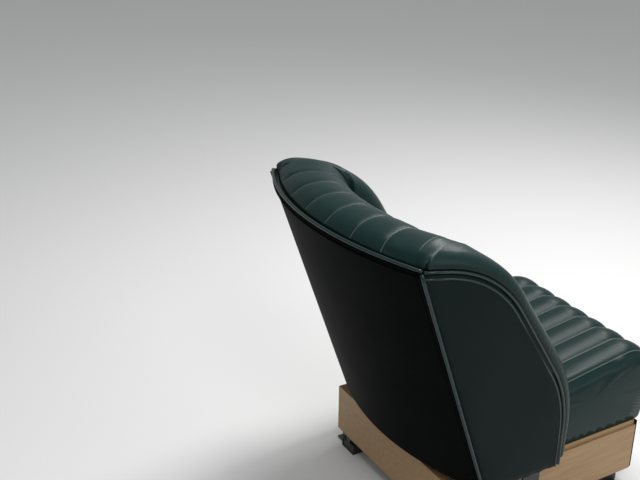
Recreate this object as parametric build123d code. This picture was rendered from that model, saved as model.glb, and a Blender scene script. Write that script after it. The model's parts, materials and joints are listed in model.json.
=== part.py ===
"""Bucket seat of an open two-seat car: a deep wrap-round back with fluted leather rolled over
its top, tipping forward on side pivots above a fluted cushion that slides on floor rails.

Row frame: X across the seat, Y towards the rear of the car, Z up from the floor.
The origin lies on the floor, in the middle of the four floor bolts.
"""
import math
import os

from build123d import *

# Driving dimensions, in millimetres and degrees.
# The middle of the back's top rear edge, and how the back stands.
REAR_EDGE_Y = 410.0
REAR_EDGE_Z = 640.0
RECLINE = 19.0
BACK_RADIUS = 560.0
HALF_WIDTH = 250.0
TOP_FALL = 6.8
BACK_BOTTOM = 158.0

# Layers of the back, from the outside in.
PANEL_T = 6.0
SHELL_T = 4.7
SEAT_GAP = 0.3
PIPING_R = 3.0

# Flutes of the back, measured round its rear edge, and the roll over its top.
BACK_FLUTES = 7
BORDER_MARGIN = 12.0
BACK_FLUTE_PITCH = 2 * (HALF_WIDTH - BORDER_MARGIN) / BACK_FLUTES
FLUTE_RISE = 7.0
ROLL_CREST = 40.0
ROLL_RISE = 10.0
ROLL_RADIUS = 87.0
PAD_FOOT = 108.0
PAD_DROP = 620.0

# Side outline of a wing, forward and up from the back's rear corner, with its bend radii.
SHOULDER = (147.0, -30.0)
SHOULDER_R = 240.0
KNEE = (330.0, -322.0)
KNEE_R = 245.0
LINING_T = 20.0
LINING_SINK = 4.0

# The roll along a wing: share of the outline's length, turn towards the front, distance of its
# crest from the outer edge, height, width inwards.
ROLL_LIFT = 1.5
ROLL_INSET = 10.0
ROLL_EDGE = 3.0
ROLL_LIP = 7.0
WING_ROLL = (
    (0.01, 60.0, 46.0, 20.0, 118.0),
    (0.08, 48.0, 40.0, 26.0, 104.0),
    (0.18, 12.0, 33.0, 27.5, 86.0),
    (0.28, 0.0, 30.0, 30.0, 76.0),
    (0.40, 0.0, 28.0, 32.0, 68.0),
    (0.55, 0.0, 25.0, 33.0, 58.0),
    (0.68, 0.0, 22.0, 31.5, 47.0),
    (0.78, 0.0, 19.0, 29.0, 39.0),
    (0.86, 0.0, 16.0, 26.5, 32.5),
    (0.92, 0.0, 15.0, 24.5, 30.5),
    (0.98, 0.0, 14.0, 22.0, 29.0),
)

# Cushion.
WING_ROOM = 50.0
CUSHION_HALF = HALF_WIDTH - WING_ROOM
CUSHION_FLUTES = 7
CUSHION_BORDER = 18.0
CUSHION_FLUTE_PITCH = 2 * (CUSHION_HALF - CUSHION_BORDER) / CUSHION_FLUTES
CUSHION_GAP = 12.0
CUSHION_FRONT = 688.0
CUSHION_REAR_TOP = 258.0
CUSHION_FRONT_TOP = 302.0
CUSHION_NOSE_R = 62.0
CUSHION_HEEL_R = 26.0
CUSHION_EDGE = 22.0
CUSHION_CORNER = 28.0

# Base box under the cushion.
BASE_MARGIN = 5.0
BASE_HALF = CUSHION_HALF + BASE_MARGIN
NOSE_OVERHANG = 48.0
BASE_FRONT = CUSHION_FRONT - NOSE_OVERHANG
BASE_REAR = 195.0
BASE_WALL = 18.0
BASE_TOP = 138.0
BOARD_T = 10.0
BOARD_SETBACK = 105.0
BOARD_HOLE_R = 16.0
BOARD_HOLES = (4, 3)
BOARD_HOLE_PITCH = 84.0
VALANCE_T = 4.0
BUFFER_R = 15.0
BUFFER_X = 0.6 * CUSHION_HALF
BUFFER_INSET = 21.0
BOTTOM_BOARD_T = 9.0

# Tipping pivot.
PIVOT_INSET = 23.0
PIVOT_Z = 236.0
PIVOT_R = 7.0
PIVOT_CLEARANCE = 0.05
BRACKET_T = 4.0
BRACKET_HALF = 20.0
BRACKET_DROP = 80.0
PIVOT_WELL_R = 14.0

# Floor rails and runners.
RAIL_INSET = 40.0
RAIL_X = BASE_HALF - RAIL_INSET
RAIL_HALF_LENGTH = 215.0
RAIL_WIDTH = 44.0
RAIL_HEIGHT = 23.0
RAIL_WALL = 3.0
RAIL_LIP = 8.0
FOOT_REACH = 35.0
FOOT_INSET = 25.0
FOOT_X = RAIL_X + FOOT_REACH
FOOT_Y = RAIL_HALF_LENGTH - FOOT_INSET
FOOT_LENGTH = 36.0
FOOT_WIDTH = 34.0
BOLT_R = 4.25
RUNNER_FRONT = -170.0
RUNNER_REAR = 214.0
RUNNER_PLAY = 2.0
RUNNER_DROP = 3.0
RUNNER_FOOT = RAIL_WIDTH - 2 * RAIL_WALL - 2 * RUNNER_PLAY
RUNNER_FOOT_TOP = RAIL_HEIGHT - RAIL_WALL - RUNNER_DROP
RUNNER_WEB = 14.0
RUNNER_FLANGE = 44.0
RUNNER_FLANGE_T = 4.0
RUNNER_STAND = 11.0
RUNNER_TOP = RAIL_HEIGHT + RUNNER_STAND
RUNNER_CLEARANCE = 0.4

# Slide latch.
LATCH_R = 3.0
LATCH_INSET = 30.0
LATCH_Y = RUNNER_FRONT + LATCH_INSET
LEVER_INSET = 60.0
LEVER_X = LEVER_INSET - RAIL_X
LEVER_R = 4.0
LEVER_LENGTH = 115.0
KNOB_R = 11.0

SIDES = (("left", 1), ("right", -1))


def row(x, forward, up):
    """A point from its distances forward and up from the middle of the rear edge."""
    return Vector(x, REAR_EDGE_Y - forward, REAR_EDGE_Z + up)


def leaned(x, forward, up):
    """The same for distances along the reclined back."""
    c = math.cos(math.radians(RECLINE))
    s = math.sin(math.radians(RECLINE))
    return row(x, forward * c - up * s, forward * s + up * c)


def solid_between(section, step):
    """A closed list of edges, filled and pushed along a vector."""
    face = make_face(section)
    return extrude(face, amount=step.length, dir=step.normalized())


def keep_above(part, height):
    """What of a part lies above a level."""
    return split(part, bisect_by=Plane.XY.offset(height), keep=Keep.TOP)


# Back: curved panels in the reclined frame.
TOP_LINE = math.tan(math.radians(TOP_FALL + RECLINE))
BORDER_ANGLE = BACK_FLUTES / 2 * BACK_FLUTE_PITCH / BACK_RADIUS
PAD_BACK = PANEL_T + SHELL_T + 2 * SEAT_GAP
CORNER_LEAN = BACK_RADIUS - math.sqrt(BACK_RADIUS**2 - HALF_WIDTH**2)
CORNER = leaned(HALF_WIDTH, CORNER_LEAN, -CORNER_LEAN * TOP_LINE)


def arc_forward(x, depth):
    """How far forward a layer at that depth lies, at a place across the back."""
    return BACK_RADIUS - math.sqrt((BACK_RADIUS - depth) ** 2 - x * x)


def curved_block(depth, thickness, half):
    """A curved layer of the back, still too tall and too deep."""
    low = -PAD_DROP
    inner = depth + thickness
    outer_arc = ThreePointArc(
        leaned(-half, arc_forward(half, depth), low),
        leaned(0, depth, low),
        leaned(half, arc_forward(half, depth), low),
    )
    inner_arc = ThreePointArc(
        leaned(half, arc_forward(half, inner), low),
        leaned(0, inner, low),
        leaned(-half, arc_forward(half, inner), low),
    )
    ends = [Line(outer_arc @ 1, inner_arc @ 0), Line(inner_arc @ 1, outer_arc @ 0)]
    rise = leaned(0, 0, 2 * PAD_DROP) - leaned(0, 0, 0)
    return solid_between([outer_arc, ends[0], inner_arc, ends[1]], rise)


def curved_wall(depth, thickness, half):
    """A curved layer of the back, trimmed by its sloping top edge and level foot."""
    wall = curved_block(depth, thickness, half)
    fall = math.radians(TOP_FALL)
    top = Plane(row(0, 0, 0), x_dir=(1, 0, 0), z_dir=(0, -math.sin(fall), math.cos(fall)))
    return keep_above(split(wall, bisect_by=top, keep=Keep.BOTTOM), BACK_BOTTOM)


def pad_section(angle, bulge):
    """The back pad cut along one flute line: rear line, rolled top, front and foot."""
    base = BACK_RADIUS * (1 - math.cos(angle)) * TOP_LINE

    def at(depth, up):
        reach = BACK_RADIUS - depth
        return leaned(reach * math.sin(angle), BACK_RADIUS - reach * math.cos(angle), up - base)

    turn = math.sqrt(0.5)
    centre_up = ROLL_RISE - ROLL_RADIUS
    swell = ROLL_RADIUS + bulge
    rear = at(PAD_BACK, 0)
    crest = at(ROLL_CREST, ROLL_RISE + bulge)
    via = at((PAD_BACK + ROLL_CREST) / 2, 0.62 * (ROLL_RISE + bulge))
    shoulder = at(ROLL_CREST + swell * turn, centre_up + swell * turn)
    front = at(ROLL_CREST + swell, centre_up)
    foot = at(PAD_FOOT + bulge, -PAD_DROP)
    heel = at(PAD_BACK, -PAD_DROP)
    return make_face(
        [
            Line(heel, rear),
            ThreePointArc(rear, via, crest),
            ThreePointArc(crest, shoulder, front),
            Line(front, foot),
            Line(foot, heel),
        ]
    )


def fluted(section, start, pitch, count):
    """Flutes side by side, each swelling between two seams, joined into one pad."""
    flutes = []
    for i in range(count):
        seams = (start + i * pitch, start + (i + 0.5) * pitch, start + (i + 1) * pitch)
        swells = (0.0, FLUTE_RISE, 0.0)
        flutes.append(loft([section(s, b) for s, b in zip(seams, swells)]))
    return flutes[0].fuse(*flutes[1:]).solid()


def back_pad():
    pitch = BACK_FLUTE_PITCH / BACK_RADIUS
    pad = fluted(pad_section, -BORDER_ANGLE, pitch, BACK_FLUTES)
    return keep_above(pad, BACK_BOTTOM + BOTTOM_BOARD_T + SEAT_GAP)


# Wings: flat layers with one outline, seen from the side.
def wing_corners(out):
    """The outline's corners moved outwards, from the rear corner to the foot."""
    forward, up = REAR_EDGE_Y - CORNER.Y, CORNER.Z - REAR_EDGE_Z
    points = [(forward, up), *[(forward + f, up + u) for f, u in (SHOULDER, KNEE)]]
    points.append((points[-1][0], BACK_BOTTOM - REAR_EDGE_Z))
    runs = [math.atan2(b[1] - a[1], b[0] - a[0]) for a, b in zip(points, points[1:])]
    normals = [(-math.sin(r), math.cos(r)) for r in runs]
    sides = [normals[0], *normals, normals[-1]]
    moved = []
    for point, before, after in zip(points, sides, sides[1:]):
        share = out / (1 + before[0] * after[0] + before[1] * after[1])
        moved.append((point[0] + share * (before[0] + after[0]), point[1] + share * (before[1] + after[1])))
    return moved


def wing_line(x, out):
    """The wing's upper and front outline at a place across the seat."""
    points = [row(x, *point) for point in wing_corners(out)]
    return FilletPolyline(*points, radius=[SHOULDER_R + out, KNEE_R + out])


def wing_layer(side, near, far, out):
    """A flat layer of a wing between two distances from the middle."""
    line = wing_line(side * near, out)
    start, foot = line @ 0, line @ 1
    lean = math.tan(math.radians(RECLINE))
    heel = Vector(start.X, start.Y - (start.Z - foot.Z) * lean, foot.Z)
    section = [*line.edges(), Line(foot, heel), Line(heel, start)]
    return solid_between(section, Vector(side * (far - near), 0, 0))


def across(side, forward, up, radius, near, far):
    """A round bar lying across the seat between two distances from the middle."""
    middle = row(side * (near + far) / 2, forward, up)
    return Pos(middle) * Rot(0, 90, 0) * Cylinder(radius, far - near)


WING_FRONT = REAR_EDGE_Y - CORNER.Y + KNEE[0]
PIVOT_FORWARD = WING_FRONT - PIVOT_INSET
PIVOT_UP = PIVOT_Z - REAR_EDGE_Z
FRAME_FAR = HALF_WIDTH - PANEL_T - SEAT_GAP
FRAME_NEAR = FRAME_FAR - SHELL_T
LINING_FAR = FRAME_NEAR - SEAT_GAP
LINING_NEAR = LINING_FAR - LINING_T


def wing_frame(side):
    plate = wing_layer(side, FRAME_NEAR, FRAME_FAR, 0)
    bore = across(side, PIVOT_FORWARD, PIVOT_UP, PIVOT_R + PIVOT_CLEARANCE, FRAME_NEAR - 1, FRAME_FAR + 1)
    return plate - bore


def wing_lining(side):
    """Flat padding inside a wing, thickened towards the back pad's last seam."""
    angle = BORDER_ANGLE + SEAT_GAP / BACK_RADIUS

    def seam(depth):
        reach = BACK_RADIUS - depth
        return side * reach * math.sin(angle), BACK_RADIUS - reach * math.cos(angle)

    deep = seam(PAD_FOOT)
    shallow = seam(PAD_BACK + SEAT_GAP)
    front = WING_FRONT + REAR_EDGE_Z
    bend = deep[1] + LINING_NEAR - abs(deep[0])
    rear = arc_forward(LINING_FAR, PAD_BACK + SEAT_GAP)
    plan = [
        shallow,
        deep,
        (side * LINING_NEAR, bend),
        (side * LINING_NEAR, front),
        (side * LINING_FAR, front),
        (side * LINING_FAR, rear),
    ]
    outline = Polyline(*[leaned(x, f, -2 * PAD_DROP) for x, f in plan], close=True)
    rise = leaned(0, 0, 3 * PAD_DROP) - leaned(0, 0, 0)
    pad = solid_between(outline.edges(), rise)
    pad = pad & wing_layer(side, abs(deep[0]) - LINING_T, LINING_FAR, -LINING_SINK)
    well = across(side, PIVOT_FORWARD, PIVOT_UP, PIVOT_WELL_R, LINING_NEAR - 1, LINING_FAR + 1)
    return pad - well


ROLL_TURN = math.radians(35)
ROLL_END = math.radians(70)


def roll_section(plane, crest, height, width, inset):
    """A wing's roll cut across: a domed top, an undercut outer side and a flat base."""
    inner = EllipticalCenterArc((crest, 0), width - crest, height, start_angle=0, arc_size=90)
    outer = EllipticalCenterArc((crest, ROLL_LIP), crest, height - ROLL_LIP, start_angle=90, arc_size=90)
    under = Polyline((0, ROLL_LIP), (inset, 0), (width, 0))
    return plane * make_face([inner, outer, *under.edges()])


def border_section(side):
    """The same against the back's last flute, with the back's own curves."""
    angle = side * (BORDER_ANGLE + SEAT_GAP / BACK_RADIUS)
    base = BACK_RADIUS * (1 - math.cos(angle)) * TOP_LINE

    def at(depth, up):
        reach = BACK_RADIUS - depth
        return leaned(reach * math.sin(angle), BACK_RADIUS - reach * math.cos(angle), up - base)

    low = ROLL_RISE - ROLL_RADIUS
    bend, front = [
        at(ROLL_CREST + ROLL_RADIUS * math.sin(turn), low + ROLL_RADIUS * math.cos(turn))
        for turn in (ROLL_TURN, ROLL_END)
    ]
    rear = PAD_BACK + SEAT_GAP
    lip = at(rear, 2 * ROLL_LIFT)
    crest = at(ROLL_CREST, ROLL_RISE)
    via = at((rear + ROLL_CREST) / 2, ROLL_LIFT + 0.62 * ROLL_RISE)
    under = Polyline(lip, at(rear, 0), front)
    return make_face([ThreePointArc(front, bend, crest), ThreePointArc(crest, via, lip), *under.edges()])


def wing_roll(side):
    """The plain roll that runs from the last flute round the corner and down the wing."""
    line = wing_line(side * HALF_WIDTH, 0)
    sections = [border_section(side)]
    for share, turn, crest, height, width in WING_ROLL:
        along = line % share
        up = Vector(0, along.Z, -along.Y)
        inwards = Vector(-side, 0, 0).rotate(Axis.Z, side * turn)
        slant = 1 / math.cos(math.radians(turn))
        base = line @ share + inwards * ROLL_EDGE * slant + up * ROLL_LIFT
        plane = Plane(base, x_dir=inwards, z_dir=inwards.cross(up))
        sections.append(roll_section(plane, crest, height, width, ROLL_INSET * slant))
    return loft(sections)


def bottom_board():
    """The board that closes the foot of the back between the wings."""
    half = (BACK_RADIUS - PAD_FOOT) * math.sin(BORDER_ANGLE)
    wall = curved_wall(PAD_BACK, PAD_FOOT - PAD_BACK, half)
    return split(wall, bisect_by=Plane.XY.offset(BACK_BOTTOM + BOTTOM_BOARD_T), keep=Keep.BOTTOM)


def piping(line):
    start = line @ 0
    return sweep(Plane(start, z_dir=line % 0) * Circle(PIPING_R), path=line)


def back_piping():
    """The piping that lies along the sloping top edge of the rear panel."""
    half = LINING_FAR - 2 * PIPING_R
    lift = (PIPING_R + SEAT_GAP) * math.hypot(1, TOP_LINE)

    def edge(x):
        forward = arc_forward(x, PANEL_T / 2)
        return leaned(x, forward, lift - forward * TOP_LINE)

    return piping(ThreePointArc(edge(-half), edge(0), edge(half)))


def wing_piping(side):
    return piping(wing_line(side * (HALF_WIDTH - PANEL_T / 2), PIPING_R + SEAT_GAP))


# Cushion and base.
def cushion_section(x, bulge):
    """The cushion cut along one flute line, from the heel over the top to the nose."""
    low = BASE_TOP + BOARD_T + SEAT_GAP
    lean = math.radians(RECLINE)
    pad_front = (PAD_FOOT + 2 * FLUTE_RISE) / math.cos(lean)
    pad_front += (REAR_EDGE_Z - CUSHION_REAR_TOP) * math.tan(lean)
    corner = max(0, -bulge) * CUSHION_CORNER / CUSHION_EDGE
    top_rear = pad_front + CUSHION_GAP + x * x / (2 * BACK_RADIUS) + corner
    front = CUSHION_FRONT + bulge - FLUTE_RISE
    nose = CUSHION_NOSE_R
    rear_top = CUSHION_REAR_TOP + bulge
    front_top = CUSHION_FRONT_TOP + bulge
    heel = CUSHION_HEEL_R
    rear_low = top_rear + (rear_top - low) * math.tan(lean)
    tip = 0.3

    def at(forward, z):
        return Vector(x, REAR_EDGE_Y - forward, z)

    heel_low = at(top_rear + heel * (rear_low - top_rear) / (rear_top - low), rear_top - heel)
    heel_via = at(top_rear + 0.45 * heel, rear_top - tip * heel)
    heel_high = at(top_rear + 1.2 * heel, rear_top)
    nose_high = at(front - nose, front_top)
    nose_via = at(front - tip * nose, front_top - tip * nose)
    nose_low = at(front, front_top - nose)
    return make_face(
        [
            Line(at(rear_low, low), heel_low),
            ThreePointArc(heel_low, heel_via, heel_high),
            Line(heel_high, nose_high),
            ThreePointArc(nose_high, nose_via, nose_low),
            Line(nose_low, at(front - 0.5 * nose, low)),
            Line(at(front - 0.5 * nose, low), at(rear_low, low)),
        ]
    )


def cushion():
    half = CUSHION_FLUTES / 2 * CUSHION_FLUTE_PITCH
    top = fluted(cushion_section, -half, CUSHION_FLUTE_PITCH, CUSHION_FLUTES)
    ends = []
    for _, side in SIDES:
        middle = side * (half + CUSHION_HALF) / 2
        sections = [(side * half, 0), (middle, 0.3 * FLUTE_RISE), (side * CUSHION_HALF, -CUSHION_EDGE)]
        ends.append(loft([cushion_section(x, bulge) for x, bulge in sections]))
    return top.fuse(*ends).solid()


def box_between(low, high):
    size = [b - a for a, b in zip(low, high)]
    middle = [(a + b) / 2 for a, b in zip(low, high)]
    return Pos(*middle) * Box(*size)


BASE_Y = (REAR_EDGE_Y - BASE_FRONT, REAR_EDGE_Y - BASE_REAR)


def base_frame():
    outer = box_between((-BASE_HALF, BASE_Y[0], RUNNER_TOP), (BASE_HALF, BASE_Y[1], BASE_TOP))
    inner_half = BASE_HALF - BASE_WALL
    inner = box_between(
        (-inner_half, BASE_Y[0] + BASE_WALL, RUNNER_TOP - 1),
        (inner_half, BASE_Y[1] - BASE_WALL, BASE_TOP + 1),
    )
    return outer - inner


def cushion_board():
    rear_y = BASE_Y[1] - BOARD_SETBACK
    board = box_between((-CUSHION_HALF, BASE_Y[0], BASE_TOP), (CUSHION_HALF, rear_y, BASE_TOP + BOARD_T))
    middle = Pos(0, (BASE_Y[0] + rear_y) / 2, BASE_TOP + BOARD_T / 2)
    holes = GridLocations(BOARD_HOLE_PITCH, BOARD_HOLE_PITCH, *BOARD_HOLES)
    return board - [middle * spot * Cylinder(BOARD_HOLE_R, 2 * BOARD_T) for spot in holes]


def front_valance():
    return box_between(
        (-BASE_HALF, BASE_Y[0] - VALANCE_T, RUNNER_TOP + 2), (BASE_HALF, BASE_Y[0], BASE_TOP + BOARD_T)
    )


def hinge_bracket(side):
    """A side plate standing on the base box, with the stud that the back turns on."""
    near, far = BASE_HALF, BASE_HALF + BRACKET_T
    y = REAR_EDGE_Y - PIVOT_FORWARD
    x_low, x_high = sorted((side * near, side * far))
    foot = BASE_TOP - BRACKET_DROP
    plate = box_between((x_low, y - BRACKET_HALF, foot), (x_high, y + BRACKET_HALF, PIVOT_Z))
    boss = across(side, PIVOT_FORWARD, PIVOT_UP, BRACKET_HALF, near, far)
    stud = across(side, PIVOT_FORWARD, PIVOT_UP, PIVOT_R, near, FRAME_FAR - SEAT_GAP)
    return plate + boss + stud


def back_buffers():
    spots = [(side * BUFFER_X, BASE_Y[1] - BUFFER_INSET) for _, side in SIDES]
    height = BACK_BOTTOM - BASE_TOP - SEAT_GAP
    return [Pos(x, y, BASE_TOP + height / 2) * Cylinder(BUFFER_R, height) for x, y in spots]


# Rails, runners and latch.
def floor_rail(side):
    half = RAIL_WIDTH / 2
    length = 2 * RAIL_HALF_LENGTH
    channel = Pos(0, 0, RAIL_HEIGHT / 2) * Box(RAIL_WIDTH, length, RAIL_HEIGHT)
    hollow_height = RAIL_HEIGHT - 2 * RAIL_WALL
    hollow = Pos(0, 0, RAIL_HEIGHT / 2) * Box(RAIL_WIDTH - 2 * RAIL_WALL, length, hollow_height)
    slot = Pos(0, 0, RAIL_HEIGHT) * Box(2 * (half - RAIL_WALL - RAIL_LIP), length, 4 * RAIL_WALL)
    rail = Pos(side * RAIL_X, 0, 0) * (channel - hollow - slot)
    for end in (-1, 1):
        x_low, x_high = sorted((side * (RAIL_X + half), side * (FOOT_X + FOOT_WIDTH / 2)))
        y_low = end * FOOT_Y - FOOT_LENGTH / 2
        foot = box_between((x_low, y_low, 0), (x_high, y_low + FOOT_LENGTH, RAIL_WALL))
        rail += foot - Pos(side * FOOT_X, end * FOOT_Y, 0) * Cylinder(BOLT_R, 4 * RAIL_WALL)
    return rail


def runner(side):
    length = RUNNER_REAR - RUNNER_FRONT
    middle_y = (RUNNER_REAR + RUNNER_FRONT) / 2
    flange_low = RUNNER_TOP - RUNNER_FLANGE_T
    low = RAIL_WALL + RUNNER_CLEARANCE
    bars = (
        (RUNNER_FOOT, low, RUNNER_FOOT_TOP),
        (RUNNER_WEB, RUNNER_FOOT_TOP, flange_low),
        (RUNNER_FLANGE, flange_low, RUNNER_TOP),
    )
    section = [Pos(0, 0, (a + b) / 2) * Box(width, length, b - a) for width, a, b in bars]
    return Pos(side * RAIL_X, middle_y, 0) * (section[0] + section[1] + section[2])


LATCH_Z = RUNNER_TOP - RUNNER_FLANGE_T - LATCH_R - SEAT_GAP


def latch_bar():
    half = RAIL_X - RUNNER_WEB / 2
    return Pos(0, LATCH_Y, LATCH_Z) * Rot(0, 90, 0) * Cylinder(LATCH_R, 2 * half)


def slide_lever():
    start = Vector(LEVER_X, LATCH_Y - LATCH_R, LATCH_Z)
    end = start - Vector(0, LEVER_LENGTH, 0)
    rod = Pos((start + end) / 2) * Rot(90, 0, 0) * Cylinder(LEVER_R, (end - start).length)
    return rod + Pos(end) * Sphere(KNOB_R)


def build():
    nodes = {
        "back_panel": curved_wall(0, PANEL_T, LINING_FAR),
        "back_shell": curved_wall(PANEL_T + SEAT_GAP, SHELL_T, LINING_FAR),
        "back_pad": back_pad(),
        "back_bottom_board": bottom_board(),
        "back_piping": back_piping(),
        "cushion": cushion(),
        "cushion_board": cushion_board(),
        "base_frame": base_frame(),
        "front_valance": front_valance(),
        "latch_bar": latch_bar(),
        "slide_lever": slide_lever(),
    }
    for name, side in SIDES:
        nodes[f"side_panel_{name}"] = wing_layer(side, HALF_WIDTH - PANEL_T, HALF_WIDTH, 0)
        nodes[f"wing_frame_{name}"] = wing_frame(side)
        nodes[f"wing_roll_{name}"] = wing_roll(side)
        nodes[f"wing_lining_{name}"] = wing_lining(side)
        nodes[f"wing_piping_{name}"] = wing_piping(side)
        nodes[f"hinge_bracket_{name}"] = hinge_bracket(side)
        nodes[f"floor_rail_{name}"] = floor_rail(side)
        nodes[f"runner_{name}"] = runner(side)
    for (name, _), buffer in zip(SIDES, back_buffers()):
        nodes[f"back_buffer_{name}"] = buffer
    return nodes


def main():
    os.makedirs("parts", exist_ok=True)
    for name, part in build().items():
        export_step(part, f"parts/{name}.step")


main()
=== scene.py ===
import json
import math

import bmesh
import bpy
from mathutils import Matrix, Quaternion, Vector


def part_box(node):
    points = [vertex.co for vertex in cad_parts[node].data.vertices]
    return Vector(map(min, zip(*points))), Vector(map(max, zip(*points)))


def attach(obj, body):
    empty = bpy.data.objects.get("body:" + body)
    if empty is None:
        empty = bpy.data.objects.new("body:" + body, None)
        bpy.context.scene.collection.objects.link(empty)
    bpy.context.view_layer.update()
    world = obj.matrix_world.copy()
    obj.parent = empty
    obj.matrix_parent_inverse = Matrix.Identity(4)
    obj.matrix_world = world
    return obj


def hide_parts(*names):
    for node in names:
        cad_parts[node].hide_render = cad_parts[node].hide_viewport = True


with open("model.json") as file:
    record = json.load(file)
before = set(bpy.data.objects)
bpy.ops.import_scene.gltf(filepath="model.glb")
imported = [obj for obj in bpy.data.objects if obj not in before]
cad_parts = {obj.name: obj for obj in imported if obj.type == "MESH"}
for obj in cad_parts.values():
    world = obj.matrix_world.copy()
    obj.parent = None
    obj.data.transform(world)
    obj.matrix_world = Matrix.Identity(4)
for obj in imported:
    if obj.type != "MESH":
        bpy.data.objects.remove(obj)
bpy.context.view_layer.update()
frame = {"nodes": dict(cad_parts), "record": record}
scene = bpy.context.scene

# The seat's own sizes, in millimetres, as the part's source has them.
REAR_EDGE_Y, REAR_EDGE_Z = 410.0, 640.0
RECLINE = math.radians(19.0)
BACK_RADIUS = 560.0
HALF_WIDTH = 250.0
TOP_LINE = math.tan(math.radians(25.8))
BACK_BOTTOM = 158.0
WING_FOOT = BACK_BOTTOM - REAR_EDGE_Z
PAD_BACK = 11.3
BACK_FLUTES = 7
BORDER_ANGLE = 238.0 / BACK_RADIUS
ROLL_CREST, ROLL_RISE, ROLL_RADIUS = 40.0, 10.0, 87.0
ROLL_CENTRE = ROLL_RISE - ROLL_RADIUS
PAD_FOOT, PAD_DROP = 108.0, 620.0
CORNER = (64.96, -7.75)
SHOULDER, SHOULDER_R = (147.0, -30.0), 240.0
KNEE, KNEE_R = (330.0, -322.0), 245.0
LINING_FACE = 28.3
CUSHION_FLUTES, CUSHION_PITCH = 7, 52.0
SIDES = (("left", 1), ("right", -1))

# The roll along a wing: share of the outline, turn towards the front in degrees, distance of its
# crest from the outer edge, height, width, and how far its inner side falls below the edge.
WING_ROLL = (
    (0.01, 57.0, 37.0, 27.5, 124.0, 8.0),
    (0.08, 48.0, 31.0, 26.5, 105.0, 11.0),
    (0.18, 26.0, 26.0, 26.5, 83.0, 12.0),
    (0.28, 10.0, 23.5, 29.0, 76.0, 5.0),
    (0.40, 0.0, 22.0, 30.0, 68.0, 0.0),
    (0.55, 0.0, 20.0, 31.0, 58.0, 0.0),
    (0.68, 0.0, 18.0, 30.0, 47.0, 0.0),
    (0.78, 0.0, 16.0, 28.0, 39.0, 0.0),
    (0.86, 0.0, 14.0, 26.0, 32.5, 0.0),
    (0.92, 0.0, 13.5, 24.0, 30.5, 0.0),
    (0.98, 0.0, 13.0, 22.0, 29.0, 0.0),
)
ROLL_EDGE, ROLL_INSET, ROLL_LIP, ROLL_SINK = 3.0, 10.0, 8.0, 4.0


# Places and curves.
def row(x, forward, up):
    """A point in metres, forward and up from the middle of the back's rear edge."""
    return Vector((x, REAR_EDGE_Y - forward, REAR_EDGE_Z + up)) / 1000


def leaned(x, forward, up):
    """The same along the reclined back."""
    c, s = math.cos(RECLINE), math.sin(RECLINE)
    return row(x, forward * c - up * s, forward * s + up * c)


LEAN_UP = Vector((0, math.sin(RECLINE), math.cos(RECLINE)))
TURN_CENTRE = leaned(0, BACK_RADIUS, 0)


def round_back(angle, depth, up):
    """A point on the back's curve: angle from the middle, depth in from the rear face, height."""
    reach = BACK_RADIUS - depth
    drop = BACK_RADIUS * (1 - math.cos(angle)) * TOP_LINE
    return leaned(reach * math.sin(angle), BACK_RADIUS - reach * math.cos(angle), up - drop)


def clamp(value):
    return min(1.0, max(0.0, value))


def bell(value, middle, width):
    return math.exp(-(((value - middle) / width) ** 2))


def eased(a, leave, b, arrive, t):
    """A smooth curve from a to b with the slopes it leaves and arrives with."""
    return (
        a * (2 * t**3 - 3 * t**2 + 1) + leave * (t**3 - 2 * t**2 + t)
        + b * (3 * t**2 - 2 * t**3) + arrive * (t**3 - t**2)
    )


def quarter_turn(steps, first=0):
    return [math.pi / 2 * i / steps for i in range(first, steps + 1)]


def rounded(corners, radii, step=3.0):
    """A polyline with its inner corners rounded."""
    corners = [Vector(c) for c in corners]
    points = [corners[0]]
    for a, b, c, radius in zip(corners, corners[1:], corners[2:], radii):
        into, away = (b - a).normalized(), (c - b).normalized()
        half = into.angle(away) / 2
        start = b - into * radius * math.tan(half)
        centre = b + (away - into).normalized() * radius / math.cos(half)
        sign = 1 if into.cross(away) > 0 else -1
        count = max(4, int(2 * half * radius / step))
        for i in range(count + 1):
            points.append(centre + Matrix.Rotation(sign * 2 * half * i / count, 2) @ (start - centre))
    return [*points, corners[-1]]


def moved_out(corners, out):
    """An open polyline moved to its left."""
    corners = [Vector(c) for c in corners]
    normals = [(b - a).normalized().orthogonal() for a, b in zip(corners, corners[1:])]
    normals = [n if (b - a).cross(n) > 0 else -n for n, a, b in zip(normals, corners, corners[1:])]
    sides = [normals[0], *normals, normals[-1]]
    return [p + (n + m) * out / (1 + n.dot(m)) for p, n, m in zip(corners, sides, sides[1:])]


def wing_outline(out=0.0):
    """The wing's edge from the rear corner to the foot, as forward and up distances."""
    knee = (CORNER[0] + KNEE[0], CORNER[1] + KNEE[1])
    shoulder = (CORNER[0] + SHOULDER[0], CORNER[1] + SHOULDER[1])
    corners = moved_out([CORNER, shoulder, knee, (knee[0], WING_FOOT)], out)
    return rounded(corners, (SHOULDER_R + out, KNEE_R + out))


def along(points, share):
    """Place and direction at a share of a polyline's length."""
    runs = [(b - a).length for a, b in zip(points, points[1:])]
    left = share * sum(runs)
    for a, b, run in zip(points, points[1:], runs):
        if left <= run and run > 0:
            return a + (b - a) * left / run, (b - a).normalized()
        left -= run
    return points[-1], (points[-1] - points[-2]).normalized()


def spaced(points, count):
    """Points evenly along a polyline."""
    points = [Vector(p) for p in points]
    return [along(points, i / count)[0] for i in range(count + 1)]


def table_at(table, share):
    """A row of a table whose first column is a share, on smooth curves through its rows."""
    last = len(table) - 1

    def slope(i, column):
        a, b = table[max(0, i - 1)], table[min(last, i + 1)]
        return (b[column] - a[column]) / (b[0] - a[0])

    i = max(k for k in range(last) if k == 0 or table[k][0] <= share)
    a, b = table[i], table[i + 1]
    span = b[0] - a[0]
    t = clamp((share - a[0]) / span)
    return [
        eased(a[column], slope(i, column) * span, b[column], slope(i + 1, column) * span, t)
        for column in range(1, len(a))
    ]


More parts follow.
